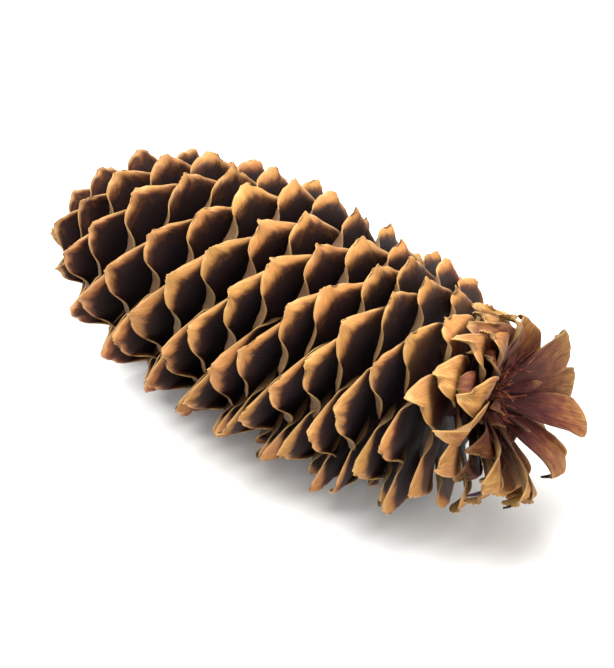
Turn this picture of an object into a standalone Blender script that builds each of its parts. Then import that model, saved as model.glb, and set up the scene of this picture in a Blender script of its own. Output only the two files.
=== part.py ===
"""An open spruce cone lying on its side: a woody spindle with scales set on a spiral.

The spindle runs along X, with the tip of the cone at -X and the broken stalk at +X.
Lengths are in metres. Places along the cone are fractions of CONE_SPAN, from 0 at
the tip to 1 near the stalk. Scales are counted from one in the middle of the cone,
and the count grows towards the stalk.
"""
import math
import random

import bmesh
import bpy
from mathutils import Vector

# The axis: place along the cone, offset in Y and height; and the X of place 0
CONE_SPAN = 0.130
START = -0.07935
ACROSS = 0.0065
AXIS = ((-0.05, (-0.0035, 0.0260)), (0.10, (-0.0034, 0.0286)), (0.25, (-0.0042, 0.0309)),
        (0.50, (-0.0062, 0.0333)), (0.80, (-0.0074, 0.0322)), (0.93, (-0.0060, 0.0337)),
        (1.06, (-0.0022, 0.0380)))

# The spindle: place along the cone and radius
SPINDLE = ((0.03, 0.0012), (0.10, 0.0028), (0.30, 0.0048), (0.60, 0.0056), (0.95, 0.0058),
           (1.055, 0.0046))
SPINDLE_STEPS = 12

# The spiral: the place where a scale grows from the spindle, for its count from the middle one
FIRST_SCALE = -79
LAST_SCALE = 98
ROOTS = ((-81, 0.075), (-60, 0.214), (-40, 0.352), (-20, 0.474), (0, 0.578), (20, 0.688), (40, 0.806),
         (60, 0.915), (73, 0.973), (86, 1.014), (98, 1.040))
TURN = math.radians(137.45)
MIDDLE_TURN = math.radians(10.2)

# The scales: how far out they reach, their width, how far their ends lean towards the tip of the
# cone, and how far their ends hook and their sides roll, each with the place of the root
REACH = ((0.03, 0.0070), (0.08, 0.0110), (0.14, 0.0185), (0.22, 0.0266), (0.34, 0.0331), (0.53, 0.0354),
         (0.72, 0.0348), (0.88, 0.0335), (0.97, 0.0310), (1.04, 0.0285))
WIDTH = ((0.05, 0.0080), (0.14, 0.0150), (0.34, 0.0225), (0.60, 0.0235), (0.86, 0.0215), (0.97, 0.0145),
         (1.04, 0.0110))
LEAN = ((0.08, 0.0062), (0.14, 0.0058), (0.22, 0.0048), (0.34, 0.0034), (0.63, 0.0022), (0.86, 0.0005),
        (0.93, -0.0020), (0.98, -0.0065), (1.04, -0.0163))
HOOK = ((0.05, 0.0010), (0.34, 0.0022), (0.90, 0.0022), (1.04, 0.0045))
ROLL = ((0.05, 0.0008), (0.24, 0.0018), (0.90, 0.0020), (1.04, 0.0012))
# Near the stalk the scales lie further back on one side
FAR_TURN = math.radians(-140)
FAR_SHARE = 0.35

# How much single scales differ: by an amount, or as a lowest and a highest share
TURN_SPREAD = math.radians(2.5)
LEAN_SPREAD = 0.0007
TWIST_SPREAD = 0.0010
REACH_SPREAD = (0.97, 1.03)
WIDTH_SPREAD = (0.94, 1.06)
HOOK_SPREAD = (0.7, 1.3)
ROLL_SPREAD = (0.6, 1.25)

# The form of a scale, in fractions along it: its outline; the lean, partly even and partly late;
# the place and spread of the rolled sides; and the start of the hooked end
ROOT_DEPTH = 0.5
EVEN_LEAN = 0.45
LATE_LEAN_POWER = 2.5
ROLL_PLACE = 0.62
ROLL_LENGTH = 0.19
ROLL_POWER = 4
ROLL_NARROWING = 0.10
HOOK_PLACE = 0.80
HOOK_POWER = 1.5
HOOK_SHORTENING = 0.25
ROOT_PART = 0.40
ROOT_THICK = 0.0016
BLADE_THICK = 0.0009
EDGE_THICK = 0.0007
OUTLINE = ((0.0, 0.20), (0.2, 0.30), (0.45, 0.72), (0.64, 1.0), (0.78, 0.86), (0.90, 0.46), (1.0, 0.0))

# Rows of points on a scale: fraction along it and places over its width. End scales are plainer
FULL_ROWS = ((0.0, (0,)), (0.36, (-1, 1)), (0.64, (-1, -0.72, 0, 0.72, 1)), (0.87, (-1, 0, 1)), (1.0, (0,)))
PLAIN_ROWS = ((0.0, (0,)), (0.36, (-1, 1)), (0.64, (-1, 0, 1)), (0.87, (-1, 0, 1)), (1.0, (0,)))
FULL_PLACES = (0.16, 0.96)

# Torn shreds of small scales round the broken stalk
SHREDS = 9
SHRED_PLACES = (1.032, 1.046)
SHRED_REACH = (0.0085, 0.0130)
SHRED_WIDTH = (0.0028, 0.0044)
SHRED_LEAN = (-0.0075, -0.0035)
SHRED_HOOK = 0.0012

# The lowest scale ends are worn flat where the cone lies on the ground
FLOOR_DEPTH = 0.02
FLOOR_SIZE = (0.20, 0.12)
SEED = 7


def blend(points, at):
    """Value at a place, from a list of (place, value), in a straight line between them."""
    if at <= points[0][0]:
        return points[0][1]
    for (a, low), (b, high) in zip(points, points[1:]):
        if at <= b:
            return low + (high - low) * (at - a) / (b - a)
    return points[-1][1]


def axis_point(place):
    """Point of the bowed axis at a place: a smooth curve through the points of AXIS."""
    places = [entry[0] for entry in AXIS]
    stops = [Vector(entry[1]) for entry in AXIS]
    last = len(places) - 1
    slopes = []
    for index in range(last + 1):
        low, high = max(index - 1, 0), min(index + 1, last)
        slopes.append((stops[high] - stops[low]) / (places[high] - places[low]))
    index = max(i for i in range(last) if i == 0 or places[i] <= place)
    gap = places[index + 1] - places[index]
    t = (place - places[index]) / gap
    side, height = (stops[index] * (1 + 2 * t) * (1 - t) ** 2 + slopes[index] * gap * t * (1 - t) ** 2
                    + stops[index + 1] * t * t * (3 - 2 * t) + slopes[index + 1] * gap * t * t * (t - 1))
    return Vector((START + place * CONE_SPAN, ACROSS + side, height))


def axis_frame(place):
    """Directions at a place: towards the tip of the cone, up, and to the -Y side."""
    step = 0.001
    base_way = (axis_point(place + step) - axis_point(place - step)).normalized()
    up = Vector((0, 0, 1))
    up = (up - base_way * up.dot(base_way)).normalized()
    return -base_way, up, base_way.cross(up)


class Scale:
    """The curved middle surface of one scale, and its thickness."""

    def __init__(self, count, chance):
        self.place = blend(ROOTS, count)
        turn = MIDDLE_TURN - TURN * count + chance.uniform(-TURN_SPREAD, TURN_SPREAD)
        tip_way, up, side = axis_frame(self.place)
        self.origin = axis_point(self.place)
        self.tip_way = tip_way
        self.out = up * math.cos(turn) + side * math.sin(turn)
        self.across = self.out.cross(tip_way)
        self.lean = blend(LEAN, self.place) + chance.uniform(-LEAN_SPREAD, LEAN_SPREAD)
        if self.lean < 0:
            self.lean *= 1 + FAR_SHARE * math.cos(turn - FAR_TURN)
        self.root = ROOT_DEPTH * blend(SPINDLE, self.place)
        self.reach = blend(REACH, self.place) * chance.uniform(*REACH_SPREAD)
        self.half = blend(WIDTH, self.place) / 2 * chance.uniform(*WIDTH_SPREAD)
        self.hook = blend(HOOK, self.place) * chance.uniform(*HOOK_SPREAD)
        self.rolls = [blend(ROLL, self.place) * chance.uniform(*ROLL_SPREAD) for _ in range(2)]
        self.twist = chance.uniform(-TWIST_SPREAD, TWIST_SPREAD)
        full = FULL_PLACES[0] < self.place < FULL_PLACES[1]
        self.rows = FULL_ROWS if full else PLAIN_ROWS

    def tear(self, chance):
        """Turns the scale into a torn shred at the stalk."""
        self.origin = axis_point(chance.uniform(*SHRED_PLACES))
        self.reach = chance.uniform(*SHRED_REACH)
        self.half = chance.uniform(*SHRED_WIDTH) / 2
        self.lean = chance.uniform(*SHRED_LEAN)
        self.hook = SHRED_HOOK
        self.rolls = [0.0, 0.0]
        self.rows = PLAIN_ROWS

    def point(self, along, over):
        """Point at a fraction along the scale and -1 to 1 over its width."""
        along = max(along, 0.0)
        side = abs(over) ** ROLL_POWER * math.exp(-((along - ROLL_PLACE) / ROLL_LENGTH) ** 2)
        tip = max(0.0, (along - HOOK_PLACE) / (1 - HOOK_PLACE))
        out = self.root + (self.reach - self.root) * along - self.hook * HOOK_SHORTENING * tip ** 2
        late = along ** LATE_LEAN_POWER
        rise = self.lean * (EVEN_LEAN * along + (1 - EVEN_LEAN) * late) + self.hook * tip ** HOOK_POWER
        rise += self.twist * over * along - self.rolls[0 if over < 0 else 1] * side
        wide = self.half * blend(OUTLINE, along) * over * (1 - ROLL_NARROWING * side)
        return self.origin + self.out * out + self.tip_way * rise + self.across * wide

    def thickness(self, along, over):
        """Thick at the root, and thinner towards the sides and the end."""
        if along < ROOT_PART:
            return ROOT_THICK + (BLADE_THICK - ROOT_THICK) * along / ROOT_PART
        to_end = (along - ROOT_PART) / (1 - ROOT_PART)
        return BLADE_THICK + (EDGE_THICK - BLADE_THICK) * max(abs(over), to_end)

    def normal(self, along, over):
        """Direction square to the middle surface."""
        step = 0.01
        lengthways = self.point(along + step, over) - self.point(along - step, over)
        crossways = self.point(along, over + step) - self.point(along, over - step)
        return lengthways.cross(crossways).normalized()


def make_scale(name, scale, material, collection):
    """One scale as a closed blade: two like faces of triangles and a rim between them."""
    shape = bmesh.new()
    sides = []
    for sign in (1, -1):
        rows = []
        for along, overs in scale.rows:
            row = []
            for over in overs:
                shift = scale.normal(along, over) * sign * scale.thickness(along, over) / 2
                row.append(shape.verts.new(scale.point(along, over) + shift))
            rows.append(row)
        sides.append(rows)
    for rows, flip in ((sides[0], False), (sides[1], True)):
        for (low_at, high_at), (low, high) in zip(zip(scale.rows, scale.rows[1:]), zip(rows, rows[1:])):
            for corners in strip(low_at[1], high_at[1]):
                face = [(low, high)[which][index] for which, index in corners]
                shape.faces.new(face[::-1] if flip else face)
    rims = [rim(rows) for rows in sides]
    for index in range(len(rims[0])):
        a, b = rims[0][index - 1], rims[0][index]
        c, d = rims[1][index], rims[1][index - 1]
        shape.faces.new((a, b, c))
        shape.faces.new((a, c, d))
    bmesh.ops.recalc_face_normals(shape, faces=shape.faces)
    if shape.calc_volume(signed=True) < 0:
        bmesh.ops.reverse_faces(shape, faces=shape.faces)
    mesh = bpy.data.meshes.new(name)
    shape.to_mesh(mesh)
    shape.free()
    mesh.materials.append(material)
    blade = bpy.data.objects.new(name, mesh)
    collection.objects.link(blade)
    return blade


def strip(low, high):
    """Triangles between two rows of points, as (row, index) corners, by their places."""
    i = j = 0
    corners = []
    while i < len(low) - 1 or j < len(high) - 1:
        go_low = j == len(high) - 1
        if i < len(low) - 1 and j < len(high) - 1:
            go_low = low[i] + low[i + 1] < high[j] + high[j + 1]
        if go_low:
            corners.append(((0, i), (0, i + 1), (1, j)))
            i += 1
        else:
            corners.append(((0, i), (1, j + 1), (1, j)))
            j += 1
    return corners


def rim(rows):
    """The points round the edge of one face, in order."""
    left = [row[0] for row in rows]
    right = [row[-1] for row in rows if len(row) > 1]
    return left + right[::-1]


def make_spindle(material, collection):
    """The spindle and the stub of the stalk: a bowed tube of changing thickness."""
    curve = bpy.data.curves.new("spindle", "CURVE")
    curve.dimensions = "3D"
    curve.bevel_depth = 1.0
    curve.bevel_resolution = 3
    curve.use_fill_caps = True
    spline = curve.splines.new("POLY")
    start, end = SPINDLE[0][0], SPINDLE[-1][0]
    places = [start + (end - start) * index / SPINDLE_STEPS for index in range(SPINDLE_STEPS + 1)]
    spline.points.add(len(places) - 1)
    for point, place in zip(spline.points, places):
        point.co = (*axis_point(place), 1)
        point.radius = blend(SPINDLE, place)
    tube = bpy.data.objects.new("spindle_curve", curve)
    collection.objects.link(tube)
    bpy.context.view_layer.update()
    mesh = bpy.data.meshes.new_from_object(tube.evaluated_get(bpy.context.evaluated_depsgraph_get()))
    shape = bmesh.new()
    shape.from_mesh(mesh)
    bmesh.ops.remove_doubles(shape, verts=shape.verts, dist=1e-6)
    bmesh.ops.triangulate(shape, faces=shape.faces)
    bmesh.ops.recalc_face_normals(shape, faces=shape.faces)
    shape.to_mesh(mesh)
    shape.free()
    mesh.materials.clear()
    mesh.materials.append(material)
    bpy.data.objects.remove(tube)
    spindle = bpy.data.objects.new("spruce_cone", mesh)
    collection.objects.link(spindle)
    return spindle


def make_material():
    material = bpy.data.materials.new("dry_cone_wood")
    material.use_nodes = True
    shader = material.node_tree.nodes["Principled BSDF"]
    shader.inputs["Base Color"].default_value = (0.36, 0.17, 0.06, 1)
    shader.inputs["Roughness"].default_value = 0.6
    return material


def make_floor_cutter(collection):
    """A block below the ground, as wide and long as the cone and more."""
    bpy.ops.mesh.primitive_cube_add(size=1, location=(0, 0, -FLOOR_DEPTH / 2))
    block = bpy.context.object
    block.name = "floor_cutter"
    block.scale = (*FLOOR_SIZE, FLOOR_DEPTH)
    block.hide_render = True
    block.display_type = "WIRE"
    for old in list(block.users_collection):
        old.objects.unlink(block)
    collection.objects.link(block)
    return block


def make_scales(material, collection):
    """All the scales on the spiral, and the torn shreds that end it."""
    chance = random.Random(SEED)
    for count in range(FIRST_SCALE, LAST_SCALE + 1):
        make_scale("scale_%03d" % (count - FIRST_SCALE), Scale(count, chance), material, collection)
    for index in range(SHREDS):
        shred = Scale(LAST_SCALE + 1 + index, chance)
        shred.tear(chance)
        make_scale("shred_%d" % index, shred, material, collection)


def fuse(spindle, scales):
    """Joins the scales to the spindle as one body, and removes the loose ones."""
    union = spindle.modifiers.new("scales", "BOOLEAN")
    union.operation = "UNION"
    union.operand_type = "COLLECTION"
    union.collection = scales
    union.solver = "MANIFOLD"
    bpy.context.view_layer.update()
    joined = bpy.data.meshes.new_from_object(spindle.evaluated_get(bpy.context.evaluated_depsgraph_get()))
    spindle.modifiers.clear()
    spindle.data = joined
    for blade in list(scales.objects):
        bpy.data.objects.remove(blade)
    bpy.data.collections.remove(scales)


def main():
    for old in list(bpy.data.objects):
        bpy.data.objects.remove(old)
    collections = {}
    for name in ("spruce_cone", "scales", "cutters"):
        collections[name] = bpy.data.collections.new(name)
        bpy.context.scene.collection.children.link(collections[name])
    wood = make_material()
    spindle = make_spindle(wood, collections["spruce_cone"])
    make_scales(wood, collections["scales"])
    fuse(spindle, collections["scales"])
    trim = spindle.modifiers.new("ground_flats", "BOOLEAN")
    trim.operation = "DIFFERENCE"
    trim.object = make_floor_cutter(collections["cutters"])
    trim.solver = "MANIFOLD"


main()
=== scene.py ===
"""The looks of a dry, open spruce cone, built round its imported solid.

The cone lies on its side with its tip at -X and its broken stalk at +X. Lengths are in
metres. Places along the cone are fractions of CONE_SPAN, from 0 at the tip to 1 near the
stalk. Scales are counted from one in the middle of the cone, towards the stalk.
"""
import math
import random

import bmesh
import bpy
import numpy as np
from bpy.props import FloatProperty, FloatVectorProperty, IntProperty, PointerProperty
from mathutils import Matrix, Vector


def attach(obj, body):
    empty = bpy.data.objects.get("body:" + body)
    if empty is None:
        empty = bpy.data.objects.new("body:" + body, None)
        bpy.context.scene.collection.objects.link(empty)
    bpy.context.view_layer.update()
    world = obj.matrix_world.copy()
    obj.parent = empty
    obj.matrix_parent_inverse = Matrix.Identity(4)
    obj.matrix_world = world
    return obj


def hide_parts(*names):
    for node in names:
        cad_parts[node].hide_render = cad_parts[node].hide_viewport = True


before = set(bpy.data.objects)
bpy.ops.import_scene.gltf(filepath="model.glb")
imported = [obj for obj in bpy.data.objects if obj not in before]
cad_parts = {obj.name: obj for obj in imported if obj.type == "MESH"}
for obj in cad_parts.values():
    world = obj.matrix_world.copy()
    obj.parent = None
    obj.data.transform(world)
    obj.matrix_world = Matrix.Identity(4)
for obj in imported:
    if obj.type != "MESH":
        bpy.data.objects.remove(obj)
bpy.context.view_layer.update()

bl_info = {
    "name": "Spruce cone",
    "version": (1, 0, 0),
    "blender": (4, 5, 0),
    "location": "View3D > Sidebar > Spruce cone",
    "description": "Builds a dry, open spruce cone scale by scale, with its stalk, resin and a plain stage",
    "category": "Object",
}

MM = 0.001
NODE = "spruce_cone"

# The axis: place along the cone, offset in Y and height; and the X of place 0
CONE_SPAN = 0.130
START = -0.07935
ACROSS = 0.0065
AXIS = ((-0.05, (-0.0035, 0.0260)), (0.10, (-0.0034, 0.0286)), (0.25, (-0.0042, 0.0309)),
        (0.50, (-0.0062, 0.0333)), (0.80, (-0.0074, 0.0322)), (0.93, (-0.0060, 0.0337)),
        (1.06, (-0.0022, 0.0380)))
AXIS_STEP = 0.001

# The spindle: place along the cone and radius
SPINDLE = ((0.03, 0.0012), (0.10, 0.0028), (0.30, 0.0048), (0.60, 0.0056), (0.95, 0.0058), (1.055, 0.0046))

# The spiral of the scales: the counts, the place of each, and the turn from one to the next
FIRST_SCALE = -79
LAST_SCALE = 98
ROOTS = ((-81, 0.075), (-60, 0.214), (-40, 0.352), (-20, 0.474), (0, 0.578), (20, 0.688), (40, 0.806),
         (60, 0.915), (73, 0.973), (86, 1.014), (98, 1.040))
TURN = math.radians(137.45)
MIDDLE_TURN = math.radians(10.2)

# The sizes of a scale by its place: reach from the axis, width, and how far its end leans and hooks
# towards the tip of the cone. Scales near FAR_TURN lean back by FAR_SHARE more
REACH = ((0.03, 0.0070), (0.08, 0.0110), (0.14, 0.0185), (0.22, 0.0266), (0.34, 0.0331), (0.53, 0.0354),
         (0.72, 0.0348), (0.88, 0.0335), (0.97, 0.0310), (1.04, 0.0285))
WIDTH = ((0.05, 0.0080), (0.14, 0.0150), (0.34, 0.0225), (0.60, 0.0235), (0.86, 0.0215), (0.97, 0.0145),
         (1.04, 0.0110))
LEAN = ((0.08, 0.0062), (0.14, 0.0058), (0.22, 0.0048), (0.34, 0.0034), (0.63, 0.0022), (0.86, 0.0005),
        (0.93, -0.0020), (0.98, -0.0065), (1.04, -0.0163))
HOOK = ((0.05, 0.0010), (0.34, 0.0022), (0.90, 0.0022), (1.04, 0.0045))
FAR_TURN = math.radians(-140)
FAR_SHARE = 0.35
ROOT_DEPTH = 0.5

# How far single scales stray from these, as in the solid: an angle, lengths, and shares of a size
SEED = 7
TURN_SPREAD = math.radians(2.5)
LEAN_SPREAD = 0.0007
TWIST_SPREAD = 0.0010
REACH_SPREAD = (0.97, 1.03)
WIDTH_SPREAD = (0.94, 1.06)
HOOK_SPREAD = (0.7, 1.3)
ROLL_SPREAD = (0.6, 1.25)
FINE_SEED = 23

# The torn shreds of small scales round the broken stalk
SHREDS = 9
SHRED_PLACES = (1.032, 1.046)
SHRED_REACH = (0.0085, 0.0130)
SHRED_WIDTH = (0.0028, 0.0044)
SHRED_LEAN = (-0.0075, -0.0035)
SHRED_HOOK = 0.0012
SHRED_HOOD = 0.3
SHRED_COLOURS = 0.55

# The small scales hidden among the last rows
INNERS = 12
INNER_PLACES = (0.985, 1.030)
INNER_REACH = (0.0165, 0.0225)
INNER_WIDTH = (0.0085, 0.0115)
INNER_LEAN = (-0.0100, -0.0020)
INNER_COLOURS = 0.7

# The outline of a flat scale, in fractions along it and of its half width, for most scales and for
# those of the fan; and how much wider than its solid it is, in all and on either side
OUTLINE = ((0.0, 0.15), (0.15, 0.30), (0.32, 0.66), (0.46, 0.96), (0.56, 1.0), (0.64, 0.93), (0.72, 0.78),
           (0.85, 0.48), (0.94, 0.28), (1.0, 0.12))
FAN_OUTLINE = ((0.0, 0.24), (0.2, 0.48), (0.45, 0.84), (0.62, 1.0), (0.76, 0.96), (0.88, 0.74), (0.96, 0.46),
               (1.0, 0.24))
FLAT_SHARE = 1.22
SIDES = (0.98, 1.12)

# Its ragged edge: half waves along a side and the share of each, how far they stray, their depth at
# the sides and at the end, and the notch in the end
RAGGED = ((5, 0.55), (9, 0.45), (15, 0.25), (26, 0.1))
RAGGED_SPREAD = (0.85, 1.15)
RAGGED_SIDE = 0.00016
RAGGED_PLACES = (0.35, 0.6)
RAGGED_POWER = 6
RAGGED_END = 0.00022
END_PLACES = (0.92, 1.0)
END_BOW = 0.5
NOTCH_SPREAD = 0.5
NOTCH_HALF = 0.35

# The band round the end that bends to a hood towards the tip of the cone, for a scale FULL_HALF wide from
# its middle to a side and hooked by FULL_HOOK. It comes further down the side past FAR_SIDE
FULL_HALF = 0.0118
FULL_HOOK = 0.0022
HOOD_LIMITS = (0.7, 1.3)
YOUNG_HOOD = 0.58
GROWN_PLACES = (0.12, 0.55)
FAN_HOOD = 2.0
FAR_SIDE = -0.8
HOOD_PLACES = (0.70, 0.97)
FAR_HOOD_PLACES = (0.58, 0.97)

# The bands along the sides that roll back towards the stalk: share of the band on either side, where
# along the scale it starts and ends, and how much nearer to the root it lies on the far side
ROLL_SIDES = (0.92, 1.10)
ROLL_START = (0.34, 0.74)
ROLL_END = (0.75, 0.88)
FAR_SHIFT = 0.16

# How both bands turn, and how wide the corner between end and side is rounded
FOLD_EASE = 0.0010
CORNER = 0.0014

# How the blade rises from root to end, tilts from side to side and waves
EVEN_LEAN = 0.45
LATE_LEAN_POWER = 2.5
TILT = math.tan(math.radians(11))
TILT_PLACES = (0.05, 0.5)
WAVES = ((5, 2), (9, -3), (3, 5), (12, 4))
WAVE_HEIGHT = 0.00016
WAVE_PLACES = (0.1, 0.5)

# The fan: the places over which scales turn into its petals, how much shorter these are all round and
# towards SHORT_TURN, and how they bend back early, sway and twist
FAN_PLACES = (0.93, 1.01)
SHORT_TURN = math.radians(-32)
SHORT_SHARES = (0.08, 0.20)
FAN_EARLY = 0.8
FAN_SWAY = 0.0022
FAN_TWIST = 0.0042

# Thickness of the blade, and the parts of its length that thicken to the root and thin to the end
BLADE_THICK = 0.00075
ROOT_THICK = 0.0014
ROOT_PART = 0.4
END_PART = 0.5
SIDE_THINNING = 3
END_THINNING = 2

# The grid of a scale, closer near its end and sides, and the points along its free edge
ROWS = 38
COLUMNS = 18
ROW_POWER = 0.85
COLUMN_TURN = math.pi / 2 * 0.86
EDGE_START = 0.12
EDGE_STEPS = 80
END_HALF = 0.9
END_STEPS = 9
SHARP_ANGLE = math.radians(55)

# Torn fibres round the stalk, and dark spurs on the scale ends past SPUR_START
FIBRE_PLACE = 1.052
FIBRE_PLACE_SPREAD = (-0.006, 0.003)
FIBRE_RING = 0.0058
FIBRE_RING_SHARES = (0.35, 1.05)
FIBRE_SPREAD = (math.radians(5), math.radians(75))
FIBRE_SHORT = (0.0025, 0.0060)
FIBRE_LONG = (0.0080, 0.0120)
FIBRE_LONG_SHARE = 0.10
FIBRE_WIDTH = (0.0004, 0.0011)
FIBRE_THICK = 0.00025
FIBRE_BEND = 0.6
FIBRE_CURL = 0.6
FIBRE_TAPER = 0.8
SPUR_START = 0.066
SPUR_LENGTH = (0.0010, 0.0022)
SPUR_WIDTH = 0.0010
SPUR_BEFORE = 0.90
SPUR_ROOT = 0.2
SPUR_CURL = 0.8
SPUR_TAPER = 0.75
STRAND_SHARES = [step / 6 for step in range(7)]

# The spindle: its rings and sides, its flutes, how rough its bark is, and the crater of its broken end as
# shares of its radius and depths
SPINDLE_RINGS = 90
SPINDLE_SIDES = 28
FLUTES = 5
FLUTE_DEPTH = 0.06
FLUTE_TWIST = 40
BARK_JAG = 0.04
CRATER_JAG = 0.09
CRATER = ((0.86, -0.0006), (0.66, 0.0004), (0.44, 0.0012), (0.20, 0.0010))

# Colours along a scale near the stalk, from its root to its end, and of the parts that stay as they are. The
# dark root ends of the fan and rim colours are partly darker wood and partly painted shade deep among the
# scales
FAN_OUTER = ((0.0, "#34100f"), (0.28, "#481c1a"), (0.50, "#6c3826"), (0.70, "#8c5a2e"), (0.86, "#a6743a"),
             (1.0, "#be8e52"))
FAN_INNER = ((0.0, "#2c1411"), (0.30, "#43231b"), (0.50, "#644629"), (0.72, "#7c6038"), (0.88, "#8c6a3c"),
             (1.0, "#966c3c"))
INNER_MARGIN = "#866a44"
EDGE = ((0.0, "#2c1812"), (0.40, "#4c3220"), (0.62, "#8a6a42"), (0.85, "#b08850"), (1.0, "#b88e54"))
FIBRE = ((0.32, "#3a1818"), (0.46, "#66302a"), (0.58, "#8e5038"), (0.72, "#b07a4a"))
BARK = ((0.30, "#22120e"), (0.52, "#3c2018"), (0.72, "#62402c"))

# Weather and painted shade: how much darker and redder an unweathered scale is in each linear colour, where
# along the cone scales come to be weathered, and how far this moves towards the tip on top, which paints the
# underside darker as shade; and how much slower the fall to dark is on scales facing up, as painted light
UNWEATHERED_AND_SHADE_TINT = (0.40, 0.22, 0.16, 1.0)
WEATHER_PLACES = (0.05, 0.85)
UNDERSIDE_SHADE_RISE = 0.35
LIT_TOP_COSINES = (0.72, 0.98)
LIT_TOP_SPREAD = 1.3

# The wood's pattern in millimetres: length and half width of a scale, fibres, how much longer than wide
# they are, blotches, flecks at the torn edge, specks of the torn fibres and grit of the bark
LENGTH_MM = 30.0
HALF_MM = 9.5
APART_MM = 97.0
FIBRE_MM = 0.5
FIBRE_STRETCH = 10.0
BLOTCH_MM = 3.03
FLECK_MM = 1.25
SPECK_MM = 2.5
GRIT_MM = 1.111

# Depth over which the wood turns dark, as darker wood and as painted shade, how far past the bend it starts,
# and the width of the worn margin
COVER_SHADE_MM = 18.0
HOOD_MM = 4.0
MARGIN_MM = 0.9

# The stage: floor, camera, and lights with their way from the cone (right, up, towards the camera),
# distance, size and power
FLOOR_HALF = 2.0
SKY_COLOUR = "#ffffff"
CAMERA_TARGET = (START + 0.065, ACROSS, 0.034)
CAMERA_AZIMUTH = math.radians(34.282)
CAMERA_ELEVATION = math.radians(43.464)
CAMERA_ROLL = math.radians(1.4576)
CAMERA_DISTANCE = 0.6045
CAMERA_ASIDE = 0.010838
CAMERA_ABOVE = -0.012276
CAMERA_NEAR = 0.01
SENSOR = 24.0
LENS = 82.988
LIGHTS = (("key_soft", (-0.40, 0.66, 0.60), 0.9, 0.6, 11.5),
          ("back_soft", (0.05, 0.95, 0.20), 0.9, 0.9, 9.0))

# Groups of scales, each its own piece: name and first count
GROUPS = (("scales_tip", FIRST_SCALE), ("scales_fore", -42), ("scales_middle", -4), ("scales_rear", 30),
          ("scales_fan", 64))


def smooth(points, at):
    """Values at places on a smooth curve through a list of (place, value)."""
    places = np.array([entry[0] for entry in points], float)
    values = np.array([entry[1] for entry in points], float)
    slopes = np.gradient(values, places, axis=0)
    at = np.clip(np.asarray(at, float), places[0], places[-1])
    index = np.clip(np.searchsorted(places, at, side="right") - 1, 0, len(places) - 2)
    gap = places[index + 1] - places[index]
    t = (at - places[index]) / gap
    low, high = values[index], values[index + 1]
    low_slope, high_slope = slopes[index] * gap, slopes[index + 1] * gap
    return (low * (1 + 2 * t) * (1 - t) ** 2 + low_slope * t * (1 - t) ** 2
            + high * t * t * (3 - 2 * t) + high_slope * t * t * (t - 1))


def blend(points, at):
    """Value at a place, from a list of (place, value), in a straight line between them."""
    return float(np.interp(at, [entry[0] for entry in points], [entry[1] for entry in points]))


def step_up(low, high, at):
    """0 below low, 1 above high and an even rise between them."""
    t = np.clip((at - low) / (high - low), 0, 1)
    return t * t * (3 - 2 * t)


def axis_point(place):
    """Point of the bowed axis at a place: a smooth curve through the points of AXIS."""
    places = [entry[0] for entry in AXIS]
    stops = [Vector(entry[1]) for entry in AXIS]
    last = len(places) - 1
    slopes = []
    for index in range(last + 1):
        low, high = max(index - 1, 0), min(index + 1, last)
        slopes.append((stops[high] - stops[low]) / (places[high] - places[low]))
    index = max(i for i in range(last) if i == 0 or places[i] <= place)
    gap = places[index + 1] - places[index]
    t = (place - places[index]) / gap
    side, height = (stops[index] * (1 + 2 * t) * (1 - t) ** 2 + slopes[index] * gap * t * (1 - t) ** 2
                    + stops[index + 1] * t * t * (3 - 2 * t) + slopes[index + 1] * gap * t * t * (t - 1))
    return Vector((START + place * CONE_SPAN, ACROSS + side, height))


def axis_frame(place):
    """Directions at a place: towards the tip of the cone, up, and to the -Y side."""
    base_way = (axis_point(place + AXIS_STEP) - axis_point(place - AXIS_STEP)).normalized()
    up = Vector((0, 0, 1))
    up = (up - base_way * up.dot(base_way)).normalized()
    return -base_way, up, base_way.cross(up)


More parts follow.
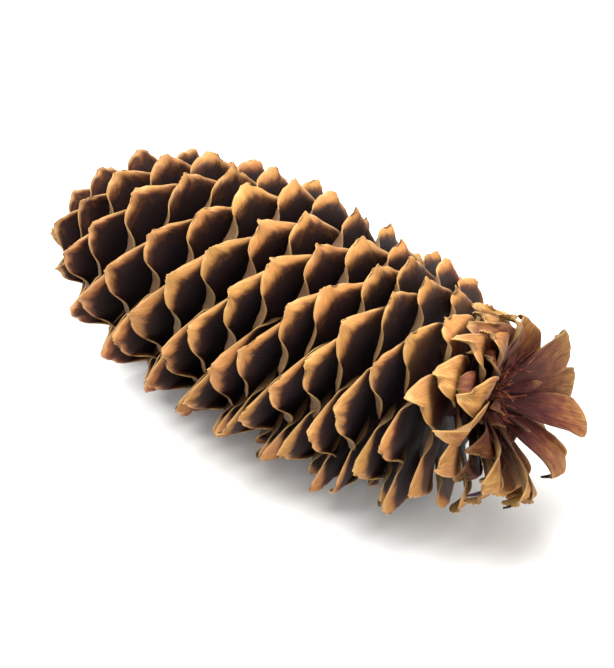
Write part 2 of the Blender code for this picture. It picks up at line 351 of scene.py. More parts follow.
class Scale:
    """One scale: the same draws and rules as its solid, and a finer surface."""

    def __init__(self, count, chance, fine, look):
        self.count = count
        self.place = blend(ROOTS, count)
        turn = MIDDLE_TURN - TURN * count + chance.uniform(-TURN_SPREAD, TURN_SPREAD)
        tip_way, up, side = axis_frame(self.place)
        self.origin = axis_point(self.place)
        self.tip_way = tip_way
        self.out = up * math.cos(turn) + side * math.sin(turn)
        self.across = self.out.cross(tip_way)
        self.lean = blend(LEAN, self.place) + chance.uniform(-LEAN_SPREAD, LEAN_SPREAD)
        if self.lean < 0:
            self.lean *= 1 + FAR_SHARE * math.cos(turn - FAR_TURN)
        self.root = ROOT_DEPTH * blend(SPINDLE, self.place)
        self.reach = blend(REACH, self.place) * chance.uniform(*REACH_SPREAD)
        self.half = blend(WIDTH, self.place) / 2 * chance.uniform(*WIDTH_SPREAD)
        self.hook = blend(HOOK, self.place) * chance.uniform(*HOOK_SPREAD)
        rolls = [chance.uniform(*ROLL_SPREAD) for _ in range(2)]
        self.twist = chance.uniform(-TWIST_SPREAD, TWIST_SPREAD)
        # Near the stalk scales turn into the petals of the fan, narrower and shorter
        size = self.half / FULL_HALF
        self.fan = float(step_up(*FAN_PLACES, self.place))
        self.half *= FLAT_SHARE + (1 - FLAT_SHARE) * self.fan
        even, facing = SHORT_SHARES
        short = 1 - self.fan * (even + facing * max(math.cos(turn - SHORT_TURN), 0.0))
        self.reach *= short
        self.lean *= short
        self.sides = [share + (1 - share) * self.fan for share in SIDES]
        # Scales at the tip of the cone bend less and stay darker as less weathered wood; scales on the
        # underside are darker too, as painted shade
        grown = YOUNG_HOOD + (1 - YOUNG_HOOD) * float(step_up(*GROWN_PLACES, self.place))
        hooked = min(max(self.hook / FULL_HOOK, HOOD_LIMITS[0]), HOOD_LIMITS[1])
        self.hood = look.hood_band * grown * (size * hooked * (1 - self.fan) + FAN_HOOD * self.fan)
        self.bands = [look.roll_band * part * size * share for part, share in zip(ROLL_SIDES, rolls)]
        self.weather = float(step_up(*WEATHER_PLACES, self.place + UNDERSIDE_SHADE_RISE * math.cos(turn)))
        # Scales facing up fall more slowly from tan to dark: painted light on the lit top of the cone
        self.lit_top_spread = 1 + LIT_TOP_SPREAD * float(step_up(*LIT_TOP_COSINES, math.cos(turn)))
        self.hood_angle, self.roll_angle, self.edge_thick = look.hood_angle, look.roll_angle, look.edge_thick
        self.colours = 1.0
        self.tone = fine.random()
        self.waves = [(fine.uniform(-1, 1), fine.uniform(0, math.tau)) for _ in WAVES]
        self.ragged = [[(rate * fine.uniform(*RAGGED_SPREAD), fine.uniform(0, math.tau))
                        for rate, _ in RAGGED] for _ in range(3)]
        self.notch = fine.uniform(-NOTCH_SPREAD, NOTCH_SPREAD)

    def shrink(self, chance, places, reach, width, lean):
        """Turns the scale into a small one, with its sizes drawn within ranges."""
        self.origin = axis_point(chance.uniform(*places))
        self.reach = chance.uniform(*reach)
        self.half = chance.uniform(*width) / 2
        self.lean = chance.uniform(*lean)

    def tear(self, chance):
        """Turns the scale into a torn shred at the stalk."""
        self.shrink(chance, SHRED_PLACES, SHRED_REACH, SHRED_WIDTH, SHRED_LEAN)
        self.colours = SHRED_COLOURS
        self.hook = SHRED_HOOK
        self.hood *= SHRED_HOOD
        self.bands = [0.0, 0.0]

    def uneven(self, which, at):
        """A ragged line between about -1 and 1."""
        return sum(share * np.sin(rate * math.pi * at + phase)
                   for (_, share), (rate, phase) in zip(RAGGED, self.ragged[which]))

    def edge_line(self):
        """The free edge of the flat blade: places along and over, points (across, out) and outward ways."""
        side = np.linspace(EDGE_START, 1, EDGE_STEPS)
        end = np.linspace(-END_HALF, END_HALF, END_STEPS)
        along = np.concatenate([side, np.ones(len(end)), side[::-1]])
        over = np.concatenate([-np.ones(len(side)), end, np.ones(len(side))])
        points = self.flat(along, over)
        ways = np.gradient(points, axis=0)[:, ::-1] * (-1, 1)
        return along, over, points, ways / np.linalg.norm(ways, axis=1, keepdims=True)

    def flat(self, along, over):
        """Points (across, out) of the flat blade, with its ragged edge."""
        share = smooth(OUTLINE, along) * (1 - self.fan) + smooth(FAN_OUTLINE, along) * self.fan
        half = self.half * share * np.where(over < 0, *self.sides)
        edge = np.where(over < 0, self.uneven(0, along), self.uneven(1, along))
        half = half + RAGGED_SIDE * edge * np.abs(over) ** RAGGED_POWER * step_up(*RAGGED_PLACES, along)
        tip = step_up(*END_PLACES, along)
        out = (self.reach - self.root) * along - END_BOW * self.half * share * over ** 2 * tip
        notch = np.exp(-((over - self.notch) / NOTCH_HALF) ** 2)
        out = out + RAGGED_END * tip * (self.uneven(2, over) - notch)
        return np.stack([over * half, out], axis=-1)

    def surface(self, along, over):
        """Points of the middle surface, and how far inside the bend and the free edge each is, in mm.

        Along runs down the first way of the grid, over across it.
        """
        flat = self.flat(along, over)
        edge_along, edge_over, edge_points, ways = self.edge_line()
        # How far a point is from the free edge, and the way to it, evened out where two sides are near
        reach = np.linalg.norm(flat[..., None, :] - edge_points, axis=-1)
        inside = reach.min(axis=-1)
        weight = np.exp((inside[..., None] - reach) / CORNER)
        weight /= weight.sum(axis=-1, keepdims=True)
        way = weight @ ways
        # Depths of the bent and the rolled band all along the edge, and how much of each lies past its fold
        far = edge_over < FAR_SIDE
        hood_share = np.where(far, step_up(*FAR_HOOD_PLACES, edge_along), step_up(*HOOD_PLACES, edge_along))
        roll_along = edge_along + np.where(far, FAR_SHIFT, 0.0)
        roll_share = step_up(*ROLL_START, roll_along) * (1 - step_up(*ROLL_END, roll_along))
        hood = weight @ (self.hood * hood_share)
        roll = weight @ (np.where(edge_over < 0, self.bands[0], self.bands[1]) * roll_share)
        folded = fold(hood - inside)
        rolled = fold(roll - inside)
        # What the bend takes from the reach and adds to the rise is made up for along the whole blade
        hood_in, hood_up = 1 - math.cos(self.hood_angle), math.sin(self.hood_angle)
        roll_in, roll_down = 1 - math.cos(self.roll_angle), math.sin(self.roll_angle)
        end = float(fold(np.array(self.hood)))
        place = flat - way * (hood_in * folded + roll_in * rolled)[..., None]
        out = self.root + place[..., 1] + hood_in * end * along
        wide = place[..., 0]
        lean = self.lean + self.hook - hood_up * end
        late = EVEN_LEAN * along + (1 - EVEN_LEAN) * along ** LATE_LEAN_POWER
        early = (1 + FAN_EARLY) * along - FAN_EARLY * along ** 2
        rise = lean * ((1 - self.fan) * late + self.fan * early)
        rise = rise + (self.twist + FAN_TWIST * self.fan * self.waves[0][0]) * over * along
        wide = wide + FAN_SWAY * self.fan * self.waves[1][0] * along ** 2
        rise = rise + TILT * wide * step_up(*TILT_PLACES, along)
        rise = rise + hood_up * folded - roll_down * rolled
        for (size, phase), (rate_along, rate_over) in zip(self.waves, WAVES):
            wave = np.sin(rate_along * along + rate_over * over + phase)
            rise = rise + WAVE_HEIGHT * size * wave * step_up(*WAVE_PLACES, along)
        points = (np.array(self.origin)[None, None] + np.array(self.out) * out[..., None]
                  + np.array(self.tip_way) * rise[..., None] + np.array(self.across) * wide[..., None])
        # Scales facing up fall more slowly from tan to dark past the bend, as painted light on the lit top of
        # the cone
        # How far inside the bent band a point is, in mm: the outer colours turn dark past it, partly as
        # painted shade
        bare = (hood - inside) / MM
        bare = np.where(bare < 0, bare / self.lit_top_spread, bare)
        return points, bare, inside / MM

    def thickness(self, along, over):
        """Thickness of the blade, from a stout root to a thin free edge."""
        to_root = np.clip(1 - along / ROOT_PART, 0, 1)
        to_end = np.clip((along - END_PART) / (1 - END_PART), 0, 1) ** END_THINNING
        to_edge = np.maximum(np.abs(over) ** SIDE_THINNING, to_end)
        return BLADE_THICK + (ROOT_THICK - BLADE_THICK) * to_root + (self.edge_thick - BLADE_THICK) * to_edge

    def grid(self):
        """Both faces of the blade, along and over of each point, and how far inside bend and edge it is."""
        along = (np.linspace(0, 1, ROWS) ** ROW_POWER)[:, None] + np.zeros((1, COLUMNS))
        over = np.sin(np.linspace(-1, 1, COLUMNS) * COLUMN_TURN) / math.sin(COLUMN_TURN)
        over = over[None, :] + np.zeros((ROWS, 1))
        middle, bare, inside = self.surface(along, over)
        normal = np.cross(np.gradient(middle, axis=0), np.gradient(middle, axis=1))
        normal /= np.linalg.norm(normal, axis=2, keepdims=True) + 1e-12
        shift = normal * self.thickness(along, over)[..., None] / 2
        inward = np.sign(np.sum(normal * np.array(self.tip_way), axis=2).mean())
        return middle - shift * inward, middle + shift * inward, along, over, bare, inside


def fold(past):
    """How much of a band lies past its fold, which turns within FOLD_EASE."""
    past = np.clip(past, 0, None)
    return np.where(past < FOLD_EASE, past ** 2 / (2 * FOLD_EASE), past - FOLD_EASE / 2)


def all_scales(look):
    """The scales of the spiral with the small ones among the last rows, and the shreds at the stalk.

    The draws come in the order of the solid.
    """
    chance = random.Random(SEED)
    fine = random.Random(FINE_SEED)
    scales = [Scale(count, chance, fine, look) for count in range(FIRST_SCALE, LAST_SCALE + 1)]
    shreds = []
    for index in range(SHREDS):
        shred = Scale(LAST_SCALE + 1 + index, chance, fine, look)
        shred.tear(chance)
        shreds.append(shred)
    for index in range(INNERS):
        inner = Scale(LAST_SCALE + 1 + SHREDS + index, chance, fine, look)
        inner.shrink(chance, INNER_PLACES, INNER_REACH, INNER_WIDTH, INNER_LEAN)
        inner.colours = INNER_COLOURS
        scales.append(inner)
    return scales, shreds


def scale_mesh(name, scales, materials):
    """One mesh of many blades: outer faces, inner faces and the torn edge between them."""
    points, faces, kinds = [], [], []
    values = {key: [] for key in ("along", "over", "tone", "fan", "weather", "bare", "inside")}
    count = ROWS * COLUMNS
    index = np.arange(count).reshape(ROWS, COLUMNS)
    low = np.stack([index[:-1, :-1], index[1:, :-1], index[1:, 1:], index[:-1, 1:]], axis=-1).reshape(-1, 4)
    loop = np.concatenate([index[0, :-1], index[:-1, -1], index[-1, :0:-1], index[:0:-1, 0]])
    after = np.roll(loop, -1)
    rim = np.stack([loop, after, after + count, loop + count], axis=-1)
    for number, scale in enumerate(scales):
        outer, inner, along, over, bare, inside = scale.grid()
        base = number * 2 * count
        sides = outer[1, 0] - outer[0, 0], outer[0, 1] - outer[0, 0]
        flip = np.dot(np.cross(*sides), inner[0, 0] - outer[0, 0]) > 0
        first, second, edge = low + base, low + base + count, rim + base
        faces.append(first[:, ::-1] if flip else first)
        faces.append(second if flip else second[:, ::-1])
        faces.append(edge if flip else edge[:, ::-1])
        kinds.append(np.repeat([0, 1, 2], [len(low), len(low), len(rim)]))
        points.append(outer.reshape(-1, 3))
        points.append(inner.reshape(-1, 3))
        grids = {"along": along * scale.colours, "over": over, "bare": bare, "inside": inside}
        for key, value in grids.items():
            values[key].append(np.tile(value.reshape(-1), 2))
        for key in ("tone", "fan", "weather"):
            values[key].append(np.full(2 * count, getattr(scale, key)))
    mesh = bpy.data.meshes.new(name)
    # The lowest scales are flat where the cone rests on the floor
    points = np.concatenate(points)
    points[:, 2] = np.maximum(points[:, 2], 0.0)
    mesh.from_pydata(points, [], np.concatenate(faces).tolist())
    for material in materials:
        mesh.materials.append(material)
    mesh.polygons.foreach_set("material_index", np.concatenate(kinds).astype(np.int32))
    for key, value in values.items():
        layer = mesh.attributes.new(key, "FLOAT", "POINT")
        layer.data.foreach_set("value", np.concatenate(value).astype(np.float32))
    mesh.shade_smooth()
    mesh.set_sharp_from_angle(angle=SHARP_ANGLE)
    return mesh


def plain_mesh(name, points, faces, material):
    """A smooth mesh of closed shells, with its faces turned outward."""
    mesh = bpy.data.meshes.new(name)
    mesh.from_pydata([tuple(point) for point in points], [], faces)
    work = bmesh.new()
    work.from_mesh(mesh)
    bmesh.ops.recalc_face_normals(work, faces=work.faces)
    work.to_mesh(mesh)
    work.free()
    mesh.materials.append(material)
    mesh.shade_smooth()
    return mesh


def add_strand(points, faces, path, widths, thick, side_way):
    """Adds a flat, tapering strand along a path: four points a step, closed at both ends."""
    base = len(points)
    for index, width in enumerate(widths):
        way = path[min(index + 1, len(path) - 1)] - path[max(index - 1, 0)]
        across = side_way * (width / 2)
        lift = way.cross(side_way).normalized() * (thick / 2)
        points.extend([path[index] - across - lift, path[index] + across - lift, path[index] + across + lift,
                       path[index] - across + lift])
    for low in range(base, base + 4 * (len(path) - 1), 4):
        for index in range(4):
            after = (index + 1) % 4
            faces.append((low + index, low + after, low + 4 + after, low + 4 + index))
    last = base + 4 * (len(path) - 1)
    faces.append((base + 3, base + 2, base + 1, base))
    faces.append((last, last + 1, last + 2, last + 3))


def fresh_object(name, data):
    """A new object of this name in the scene, in place of an older one."""
    old = bpy.data.objects.get(name)
    if old:
        bpy.data.objects.remove(old)
    made = bpy.data.objects.new(name, data)
    bpy.context.scene.collection.objects.link(made)
    return made


def add_piece(name, mesh):
    """Links a mesh as a piece of the cone, riding on its one body in place of the solid."""
    piece = fresh_object(name, mesh)
    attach(piece, "root")
    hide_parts(NODE)
    return piece


def linear(code):
    """A linear colour from an sRGB hex value."""
    parts = [int(code[i:i + 2], 16) / 255 for i in (1, 3, 5)]
    return tuple(p / 12.92 if p <= 0.04045 else ((p + 0.055) / 1.055) ** 2.4 for p in parts) + (1.0,)


def rgba(colour):
    """A linear colour with its alpha, from an sRGB hex value or from a linear colour without one."""
    return linear(colour) if isinstance(colour, str) else (*colour, 1.0)


def between(first, second, share):
    """The linear colour a share of the way from one to another."""
    return tuple(low + (high - low) * share for low, high in zip(first, second))


def node(tree, kind, settings=(), values=(), links=(), stops=()):
    """Adds a node: its settings, its unlinked values, its links and a ramp's stops."""
    made = tree.nodes.new(kind)
    for key, value in dict(settings).items():
        setattr(made, key, value)
    for key, value in dict(values).items():
        made.inputs[key].default_value = value
    for key, source in dict(links).items():
        tree.links.new(source, made.inputs[key])
    if stops:
        ramp = made.color_ramp
        while len(ramp.elements) < len(stops):
            ramp.elements.new(0.5)
        for element, (place, code) in zip(ramp.elements, stops):
            element.position = place
            element.color = rgba(code)
    return made


def start_material(name, roughness, specular):
    """The material of this name with a cleared tree, its shader and its output."""
    material = bpy.data.materials.get(name) or bpy.data.materials.new(name)
    material.use_nodes = True
    tree = material.node_tree
    tree.nodes.clear()
    shader = node(tree, "ShaderNodeBsdfPrincipled",
                  values={"Roughness": roughness, "Specular IOR Level": specular})
    node(tree, "ShaderNodeOutputMaterial", links={"Surface": shader.outputs["BSDF"]})
    return material, tree, shader


def grain_ways(tree):
    """Place along a scale, tone of the scale, share of the fan, and the place on the scale in millimetres."""
    along = node(tree, "ShaderNodeAttribute", {"attribute_name": "along"})
    over = node(tree, "ShaderNodeAttribute", {"attribute_name": "over"})
    tone = node(tree, "ShaderNodeAttribute", {"attribute_name": "tone"})
    fan = node(tree, "ShaderNodeAttribute", {"attribute_name": "fan"})
    length = node(tree, "ShaderNodeMath", {"operation": "MULTIPLY"}, {1: LENGTH_MM},
                  {0: along.outputs["Fac"]})
    width = node(tree, "ShaderNodeMath", {"operation": "MULTIPLY"}, {1: HALF_MM}, {0: over.outputs["Fac"]})
    # The pattern starts elsewhere on each scale
    apart = node(tree, "ShaderNodeMath", {"operation": "MULTIPLY"}, {1: APART_MM}, {0: tone.outputs["Fac"]})
    spot = node(tree, "ShaderNodeCombineXYZ",
                links={0: width.outputs[0], 1: length.outputs[0], 2: apart.outputs[0]})
    return along, tone, fan, spot


def scale_face(name, stops, fan_stops, cover, margin, roughness):
    """Dry scale wood, coloured by how far a place is from the bared end.

    Cover names the measured depth that the colours follow; their dark end is darker wood deepened by
    painted shade in the pockets between scales. Grain and blotches shift them, and the
    margin is paler.
    """
    material, tree, shader = start_material(name, roughness, 0.22)
    along, tone, fan, spot = grain_ways(tree)
    # Grain fibres, long down the scale
    stretched = node(tree, "ShaderNodeVectorMath", {"operation": "MULTIPLY"},
                     {1: (1.0, 1 / FIBRE_STRETCH, 1.0)}, {0: spot.outputs[0]})
    fibre = node(tree, "ShaderNodeTexNoise",
                 values={"Scale": 1 / FIBRE_MM, "Detail": 3.0, "Roughness": 0.6},
                 links={"Vector": stretched.outputs[0]})
    # Weathered blotches
    blotch = node(tree, "ShaderNodeTexNoise",
                  values={"Scale": 1 / BLOTCH_MM, "Detail": 3.0, "Roughness": 0.6},
                  links={"Vector": spot.outputs[0]})
    mottle = node(tree, "ShaderNodeMapRange",
                  values={"From Min": 0.25, "From Max": 0.75, "To Min": -0.05, "To Max": 0.05},
                  links={"Value": blotch.outputs["Fac"]})
    streak = node(tree, "ShaderNodeMapRange",
                  values={"From Min": 0.25, "From Max": 0.75, "To Min": -0.03, "To Max": 0.03},
                  links={"Value": fibre.outputs["Fac"]})
    uneven = node(tree, "ShaderNodeMath", {"operation": "ADD"},
                  links={0: mottle.outputs[0], 1: streak.outputs[0]})
    # Depth into the dark part, from 0 to 1: on outer faces from a little past the bend,
    # on inner faces from the free edge. The dark is darker wood hidden under other scales, deepened by
    # painted shade
    first, last = (HOOD_MM, HOOD_MM - COVER_SHADE_MM) if cover == "bare" else (0.0, COVER_SHADE_MM)
    depth = node(tree, "ShaderNodeAttribute", {"attribute_name": cover})
    depth = node(tree, "ShaderNodeMapRange", values={"From Min": first, "From Max": last},
                 links={"Value": depth.outputs["Fac"]})
    at = node(tree, "ShaderNodeMath", {"operation": "ADD"}, links={0: depth.outputs[0], 1: uneven.outputs[0]})
    body = node(tree, "ShaderNodeValToRGB", links={"Fac": at.outputs[0]}, stops=stops)
    # Petals of the fan lay under no other scale and are coloured along their length, darkest at the root,
    # partly as painted shade
    fan_at = node(tree, "ShaderNodeMath", {"operation": "MULTIPLY_ADD"}, {1: 2.9},
                  {0: uneven.outputs[0], 2: along.outputs["Fac"]})
    fan_body = node(tree, "ShaderNodeValToRGB", links={"Fac": fan_at.outputs[0]}, stops=fan_stops)
    colour = node(tree, "ShaderNodeMix", {"data_type": "RGBA"},
                  links={"Factor": fan.outputs["Fac"], "A": body.outputs[0], "B": fan_body.outputs[0]})
    # Scales towards the tip stay darker and redder as less weathered wood; those on the underside are
    # darkened the same way as painted shade
    weather = node(tree, "ShaderNodeAttribute", {"attribute_name": "weather"})
    tint = node(tree, "ShaderNodeMix", {"data_type": "RGBA"}, {"A": UNWEATHERED_AND_SHADE_TINT, "B": (1.0, 1.0, 1.0, 1.0)},
                {"Factor": weather.outputs["Fac"]})
    tinted = node(tree, "ShaderNodeVectorMath", {"operation": "MULTIPLY"},
                  links={0: colour.outputs["Result"], 1: tint.outputs["Result"]})
    # Darker lines between the fibres
    line = node(tree, "ShaderNodeMapRange",
                values={"From Min": 0.35, "From Max": 0.65, "To Min": 0.78, "To Max": 1.10},
                links={"Value": fibre.outputs["Fac"]})
    lined = node(tree, "ShaderNodeVectorMath", {"operation": "SCALE"},
                 links={0: tinted.outputs[0], "Scale": line.outputs[0]})
    # The thin margin of the outer half has worn and faded paler
    edge = node(tree, "ShaderNodeAttribute", {"attribute_name": "inside"})
    rim = node(tree, "ShaderNodeMapRange", {"interpolation_type": "SMOOTHSTEP"},
               {"From Min": MARGIN_MM, "From Max": 0.0, "To Max": 0.5}, {"Value": edge.outputs["Fac"]})
    upper = node(tree, "ShaderNodeMapRange", {"interpolation_type": "SMOOTHSTEP"},
                 {"From Min": 0.35, "From Max": 0.75}, {"Value": along.outputs["Fac"]})
    rim = node(tree, "ShaderNodeMath", {"operation": "MULTIPLY"},
               links={0: rim.outputs[0], 1: upper.outputs[0]})
    faded = node(tree, "ShaderNodeMix", {"data_type": "RGBA"}, {"B": rgba(margin)},
                 {"Factor": rim.outputs[0], "A": lined.outputs[0]})
    # Each scale has weathered a little differently: lighter or darker, and redder or yellower
    light = node(tree, "ShaderNodeMapRange", values={"To Min": 0.84, "To Max": 1.14},
                 links={"Value": tone.outputs["Fac"]})
    swing = node(tree, "ShaderNodeMath", {"operation": "MULTIPLY"}, {1: 7.3}, {0: tone.outputs["Fac"]})
    swing = node(tree, "ShaderNodeMath", {"operation": "PINGPONG"}, {1: 0.5}, {0: swing.outputs[0]})
    hue = node(tree, "ShaderNodeMapRange", values={"From Max": 0.5, "To Min": 0.494, "To Max": 0.506},
               links={"Value": swing.outputs[0]})
    toned = node(tree, "ShaderNodeHueSaturation",
                 links={"Color": faded.outputs["Result"], "Value": light.outputs[0], "Hue": hue.outputs[0]})
    tree.links.new(toned.outputs[0], shader.inputs["Base Color"])
    # Raised grain over shallow blisters
    height = node(tree, "ShaderNodeMath", {"operation": "MULTIPLY_ADD"}, {1: 0.35},
                  {0: blotch.outputs["Fac"], 2: fibre.outputs["Fac"]})
    bump = node(tree, "ShaderNodeBump", values={"Strength": 0.3, "Distance": 0.4 * MM},
                links={"Height": height.outputs[0]})
    tree.links.new(bump.outputs[0], shader.inputs["Normal"])
    return material


def outer_face(look):
    """Outer faces of dry scale wood, weathered by sun and rain.

    They are matt golden tan where bared, with fine grain that breaks up the highlight, and fall to
    near black past the bend: darker wood, deepened by painted shade in the pockets between scales.
    """
    # The last stops turn near black: darker wood, deepened by painted shade in the pockets between scales
    stops = ((0.0, look.pale), (0.13, look.bared), (0.18, between(look.bared, look.faded, 0.4)),
             (0.22, look.faded), (0.27, between(look.faded, look.covered_and_shaded, 0.82)), (0.48, look.covered_and_shaded))
    return scale_face("scale_outer_weathered", stops, FAN_OUTER, "bare", look.margin, 0.62)


def inner_face(look):
    """Inner faces of dry scale wood, dried and never polished.

    They are dull olive brown at the rolled sides, so they read as quiet strips beside the bright ends,
    and turn near black towards the spindle as painted shade between the scales.
    """
    # The last stops turn near black towards the spindle: darker wood, deepened by painted shade
    stops = ((0.0, look.inner), (0.10, between(look.inner, look.deep, 0.29)),
             (0.20, between(look.inner, look.deep, 0.60)), (0.34, between(look.inner, look.deep, 0.84)),
             (0.55, between(look.inner, look.deep, 0.93)), (0.85, look.deep))
    return scale_face("scale_inner_dried", stops, FAN_INNER, "inside", INNER_MARGIN, 0.62)


def torn_edge():
    """Scale wood, torn and worn at the rim: pale, open fibres that draw a thin light line round a scale."""
    material, tree, shader = start_material("scale_edge_torn", 0.75, 0.2)
    along, _, _, spot = grain_ways(tree)
    fleck = node(tree, "ShaderNodeTexNoise", values={"Scale": 1 / FLECK_MM, "Detail": 3.0},
                 links={"Vector": spot.outputs[0]})
    shift = node(tree, "ShaderNodeMath", {"operation": "MULTIPLY_ADD"}, {1: 0.30, 2: -0.15},
                 {0: fleck.outputs["Fac"]})
    at = node(tree, "ShaderNodeMath", {"operation": "ADD"},
              links={0: along.outputs["Fac"], 1: shift.outputs[0]})
    # The rim darkens towards the root: partly darker wood, partly painted shade deep among the scales
    colour = node(tree, "ShaderNodeValToRGB", links={"Fac": at.outputs[0]}, stops=EDGE)
    tree.links.new(colour.outputs[0], shader.inputs["Base Color"])
    return material


def speckled(name, roughness, specular, grain_mm, stops, depth_mm):
    """A material with specks of one size, raised by a depth, both in millimetres."""
    material, tree, shader = start_material(name, roughness, specular)
    place = node(tree, "ShaderNodeTexCoord")
    grit = node(tree, "ShaderNodeTexNoise",
                values={"Scale": 1 / (grain_mm * MM), "Detail": 4.0, "Roughness": 0.65},
                links={"Vector": place.outputs["Object"]})
    colour = node(tree, "ShaderNodeValToRGB", links={"Fac": grit.outputs["Fac"]}, stops=stops)
    tree.links.new(colour.outputs[0], shader.inputs["Base Color"])
    bump = node(tree, "ShaderNodeBump", values={"Strength": 0.8, "Distance": depth_mm * MM},
                links={"Height": grit.outputs["Fac"]})
    tree.links.new(bump.outputs[0], shader.inputs["Normal"])
    return material


def torn_fibre():
    """Bark fibres, torn off and dried: dull strands from dark red-brown to rust, that look frayed."""
    return speckled("stalk_fibre_torn", 0.8, 0.15, SPECK_MM, FIBRE, 0.2)


def spindle_bark():
    """Spindle wood with rough dry bark: dark red-brown and gritty, so it stays dark between the scales."""
    return speckled("spindle_bark_rough", 0.8, 0.2, GRIT_MM, BARK, 0.6)


def dried_resin(look):
    """Scale ends soaked with resin, dried hard: near black, a little smoother than the wood."""
    material, _, shader = start_material("scale_end_resin_dried", 0.6, 0.15)
    shader.inputs["Base Color"].default_value = rgba(look.resin)
    return material


def floor_paper(look):
    """Matt white paper, rolled out flat: pale and without a highlight, so only the soft shadow shows."""
    material, _, shader = start_material("floor_matt_paper", 0.9, 0.1)
    shader.inputs["Base Color"].default_value = rgba(look.floor)
    return material


def colour_setting(name, description, code):
    """A colour the user can change, from its sRGB hex value."""
    return FloatVectorProperty(name=name, description=description, subtype="COLOR", size=3, min=0.0, max=1.0,
                               default=linear(code)[:3])


class ConeSettings(bpy.types.PropertyGroup):
    """Sizes and colours of the cone and its stage"""

    hood_angle: FloatProperty(name="Hood angle", description="How far the scale ends bend towards the tip",
                              default=math.radians(66), subtype="ANGLE", min=0.0, max=math.pi / 2)
    hood_band: FloatProperty(name="Hood depth", default=0.0031, unit="LENGTH", precision=4,
                             min=0.0, max=0.008,
                             description="Depth of the bent band at the end of a full scale")
    roll_angle: FloatProperty(name="Roll angle", description="How far the scale sides roll back",
                              default=math.radians(78), subtype="ANGLE", min=0.0, max=math.pi / 2)
    roll_band: FloatProperty(name="Roll depth", default=0.0037, unit="LENGTH", precision=4,
                             min=0.0, max=0.008,
                             description="Depth of the rolled band at the sides of a full scale")
    edge_thick: FloatProperty(name="Edge thickness", description="Thickness of a scale at its free edge",
                              default=0.00028, unit="LENGTH", precision=5, min=0.0001, max=0.001)
    fibres: IntProperty(name="Fibres", description="How many torn fibres stand round the stalk", default=120,
                        min=3, max=400)
    pale: colour_setting("Pale end", "Scale wood at the very end of a scale", "#c28e52")
    bared: colour_setting("Bared wood", "Scale wood that lay bare to the weather", "#b47c40")
    # The half-covered and Covered wood colours are darkened partly as painted shade in the pockets between
    # scales
    faded: colour_setting("Half-covered wood", "Scale wood where the next scales began", "#6a4128")
    covered_and_shaded: colour_setting("Covered wood", "Scale wood that other scales covered", "#2a2024")
    inner: colour_setting("Inner side", "Inner faces near their edges", "#64482b")
    # The inner depth colour is near black partly as painted shade towards the spindle
    deep: colour_setting("Inner depth", "Inner faces near the spindle", "#20161a")
    margin: colour_setting("Margin", "The thin, worn margin of the outer faces", "#d4aa72")
    resin: colour_setting("Resin", "The dark spurs at scale ends", "#2a161a")
    floor: colour_setting("Floor", "The paper under the cone", "#f4f4f2")
    world: FloatProperty(name="Room light", description="Strength of the even light from all round",
                         default=1.0, min=0.0, max=5.0)


class CONE_OT_scales(bpy.types.Operator):
    """Build the scales, group by group along the cone"""

    bl_idname = "spruce_cone.scales"
    bl_label = "Scales"

    def execute(self, context):
        look = context.scene.spruce_cone
        materials = outer_face(look), inner_face(look), torn_edge()
        scales, _ = all_scales(look)
        ends = [first for _, first in GROUPS[1:]] + [scales[-1].count + 1]
        for (name, first), end in zip(GROUPS, ends):
            group = [scale for scale in scales if first <= scale.count < end]
            add_piece(name, scale_mesh(name, group, materials))
        return {"FINISHED"}


class CONE_OT_shreds(bpy.types.Operator):
    """Build the torn shreds of small scales at the stalk"""

    bl_idname = "spruce_cone.shreds"
    bl_label = "Torn shreds"

    def execute(self, context):
        look = context.scene.spruce_cone
        materials = outer_face(look), inner_face(look), torn_edge()
        _, shreds = all_scales(look)
        add_piece("stalk_shreds", scale_mesh("stalk_shreds", shreds, materials))
        return {"FINISHED"}


class CONE_OT_fibres(bpy.types.Operator):
    """Build the torn fibres round the broken stalk"""

    bl_idname = "spruce_cone.fibres"
    bl_label = "Torn fibres"

    def execute(self, context):
        chance = random.Random(FINE_SEED + 1)
        count = context.scene.spruce_cone.fibres
        points, faces = [], []
        for index in range(count):
            place = FIBRE_PLACE + chance.uniform(*FIBRE_PLACE_SPREAD)
            tip_way, up, side = axis_frame(place)
            turn = math.tau * (index + chance.uniform(-0.5, 0.5)) / count
            radial = up * math.cos(turn) + side * math.sin(turn)
            start = axis_point(place) + radial * FIBRE_RING * chance.uniform(*FIBRE_RING_SHARES)
            outward = chance.uniform(*FIBRE_SPREAD)
            way = radial * math.sin(outward) - tip_way * math.cos(outward)
            bend = Vector([chance.uniform(-1, 1) for _ in range(3)]) * FIBRE_BEND
            bend += radial * chance.uniform(0, FIBRE_BEND)
            length = chance.uniform(*(FIBRE_LONG if chance.random() < FIBRE_LONG_SHARE else FIBRE_SHORT))
            width = chance.uniform(*FIBRE_WIDTH)
            path = [start + (way * t + bend * FIBRE_CURL * t * t) * length for t in STRAND_SHARES]
            widths = [width * (1 - FIBRE_TAPER * t * t) for t in STRAND_SHARES]
            add_strand(points, faces, path, widths, FIBRE_THICK, way.cross(bend).normalized())
        add_piece("stalk_fibres", plain_mesh("stalk_fibres", points, faces, torn_fibre()))
        return {"FINISHED"}


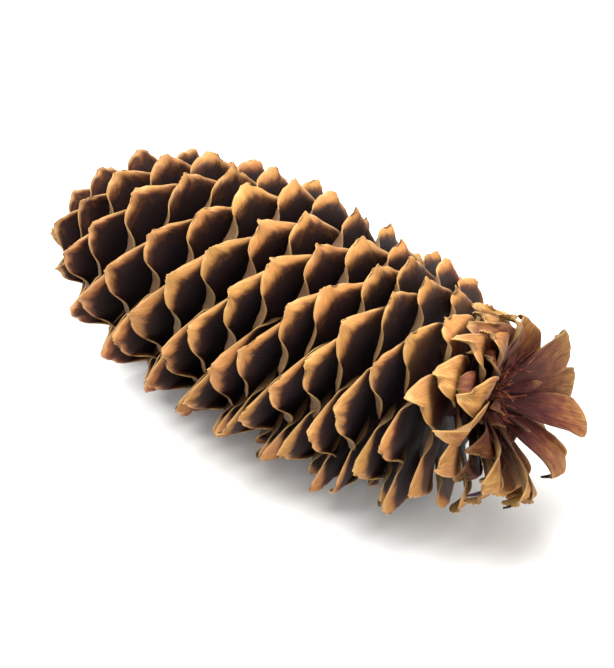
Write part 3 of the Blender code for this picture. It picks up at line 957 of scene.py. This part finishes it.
class CONE_OT_spurs(bpy.types.Operator):
    """Build the dark, dried spurs at the ends of some scales near the stalk"""

    bl_idname = "spruce_cone.spurs"
    bl_label = "Dark spurs"

    def execute(self, context):
        look = context.scene.spruce_cone
        chance = random.Random(FINE_SEED + 2)
        scales, _ = all_scales(look)
        points, faces = [], []
        for scale in scales:
            middle, _, _ = scale.surface(np.array([[SPUR_BEFORE], [1.0]]), np.zeros((2, 1)))
            before, tip = Vector(middle[0, 0]), Vector(middle[1, 0])
            if tip.x < SPUR_START:
                continue
            way = (tip - before).normalized()
            length = chance.uniform(*SPUR_LENGTH)
            path = [tip + (way * (t - SPUR_ROOT) + scale.tip_way * SPUR_CURL * t * t) * length
                    for t in STRAND_SHARES]
            widths = [SPUR_WIDTH * (1 - SPUR_TAPER * t * t) for t in STRAND_SHARES]
            add_strand(points, faces, path, widths, SPUR_WIDTH / 2, scale.across)
        add_piece("scale_spurs", plain_mesh("scale_spurs", points, faces, dried_resin(look)))
        return {"FINISHED"}


class CONE_OT_spindle(bpy.types.Operator):
    """Build the spindle that the scales grow from, with the broken stalk"""

    bl_idname = "spruce_cone.spindle"
    bl_label = "Spindle and stalk"

    def execute(self, context):
        rough = random.Random(FINE_SEED)
        start, end = SPINDLE[0][0], SPINDLE[-1][0]
        # Rings along the bark, then smaller ones down into the shallow crater of the broken end
        rings = []
        for step in range(SPINDLE_RINGS):
            place = start + (end - start) * step / (SPINDLE_RINGS - 1)
            rings.append((place, float(smooth(SPINDLE, place)), 0.0, BARK_JAG))
        rings += [(end, SPINDLE[-1][1] * share, deep, CRATER_JAG) for share, deep in CRATER]
        points = []
        for place, radius, deep, jag in rings:
            tip_way, up, side = axis_frame(place)
            for index in range(SPINDLE_SIDES):
                turn = math.tau * index / SPINDLE_SIDES
                flute = FLUTE_DEPTH * math.sin(FLUTES * turn + FLUTE_TWIST * place)
                width = radius * (1 + flute + rough.uniform(-jag, jag))
                shift = deep + radius * rough.uniform(-jag, jag)
                radial = up * math.cos(turn) + side * math.sin(turn)
                points.append(axis_point(place) + radial * width + tip_way * shift)
        faces = []
        for low in range(0, len(points) - SPINDLE_SIDES, SPINDLE_SIDES):
            high = low + SPINDLE_SIDES
            for index in range(SPINDLE_SIDES):
                after = (index + 1) % SPINDLE_SIDES
                faces.append((low + index, high + index, high + after, low + after))
        faces.append(tuple(range(SPINDLE_SIDES)))
        faces.append(tuple(range(len(points) - SPINDLE_SIDES, len(points))))
        add_piece("spindle", plain_mesh("spindle", points, faces, spindle_bark()))
        return {"FINISHED"}


class CONE_OT_stage(bpy.types.Operator):
    """Set the floor, the soft lights and the camera"""

    bl_idname = "spruce_cone.stage"
    bl_label = "Stage"

    def execute(self, context):
        scene = context.scene
        look = scene.spruce_cone
        mesh = bpy.data.meshes.new("floor")
        corners = [(-1, -1), (1, -1), (1, 1), (-1, 1)]
        mesh.from_pydata([(x * FLOOR_HALF, y * FLOOR_HALF, 0) for x, y in corners], [], [(0, 1, 2, 3)])
        mesh.materials.append(floor_paper(look))
        floor = fresh_object("floor", mesh)
        world = bpy.data.worlds.new("studio")
        scene.world = world
        world.use_nodes = True
        sky = world.node_tree.nodes["Background"].inputs
        sky["Color"].default_value = linear(SKY_COLOUR)
        sky["Strength"].default_value = look.world
        back, right, up = camera_ways()
        target = Vector(CAMERA_TARGET)
        for name, (aside, above, towards), distance, size, power in LIGHTS:
            light = bpy.data.lights.new(name, "AREA")
            light.shape = "DISK"
            light.size = size
            light.energy = power
            lamp = fresh_object(name, light)
            way = (right * aside + up * above + back * towards).normalized()
            lamp.location = target + way * distance
            lamp.rotation_euler = way.to_track_quat("Z", "Y").to_euler()
        camera = bpy.data.cameras.new("camera")
        camera.sensor_fit = "VERTICAL"
        camera.sensor_height = SENSOR
        camera.lens = LENS
        camera.clip_start = CAMERA_NEAR
        holder = fresh_object("camera", camera)
        place = target + back * CAMERA_DISTANCE + right * CAMERA_ASIDE + up * CAMERA_ABOVE
        holder.matrix_world = Matrix.Translation(place) @ Matrix((right, up, back)).transposed().to_4x4()
        scene.camera = holder
        scene.view_settings.view_transform = "Standard"
        return {"FINISHED"}


def camera_ways():
    """Directions of the camera: back towards it, right and up in the picture."""
    az, el, roll = CAMERA_AZIMUTH, CAMERA_ELEVATION, CAMERA_ROLL
    back = Vector((math.sin(az) * math.cos(el), -math.cos(az) * math.cos(el), math.sin(el)))
    flat = Vector((math.cos(az), math.sin(az), 0))
    rise = back.cross(flat)
    return back, flat * math.cos(roll) + rise * math.sin(roll), rise * math.cos(roll) - flat * math.sin(roll)


class CONE_PT_panel(bpy.types.Panel):
    """Lists the settings and the steps that build the cone"""

    bl_idname = "CONE_PT_panel"
    bl_label = "Spruce cone"
    bl_space_type = "VIEW_3D"
    bl_region_type = "UI"
    bl_category = "Spruce cone"

    def draw(self, context):
        settings = context.scene.spruce_cone
        for key in ConeSettings.__annotations__:
            self.layout.prop(settings, key)
        for step in STEPS:
            self.layout.operator(step.bl_idname)


STEPS = (CONE_OT_scales, CONE_OT_shreds, CONE_OT_fibres, CONE_OT_spurs, CONE_OT_spindle, CONE_OT_stage)
CLASSES = (ConeSettings, *STEPS, CONE_PT_panel)


def register():
    """Makes the settings, the steps and the panel known to the program."""
    for item in CLASSES:
        bpy.utils.register_class(item)
    bpy.types.Scene.spruce_cone = PointerProperty(type=ConeSettings)


def unregister():
    """Takes them back out."""
    del bpy.types.Scene.spruce_cone
    for item in reversed(CLASSES):
        bpy.utils.unregister_class(item)


def main():
    """Builds the cone and its stage."""
    register()
    bpy.ops.spruce_cone.scales()
    bpy.ops.spruce_cone.shreds()
    bpy.ops.spruce_cone.fibres()
    bpy.ops.spruce_cone.spurs()
    bpy.ops.spruce_cone.spindle()
    bpy.ops.spruce_cone.stage()


if __name__ == "__main__":
    main()
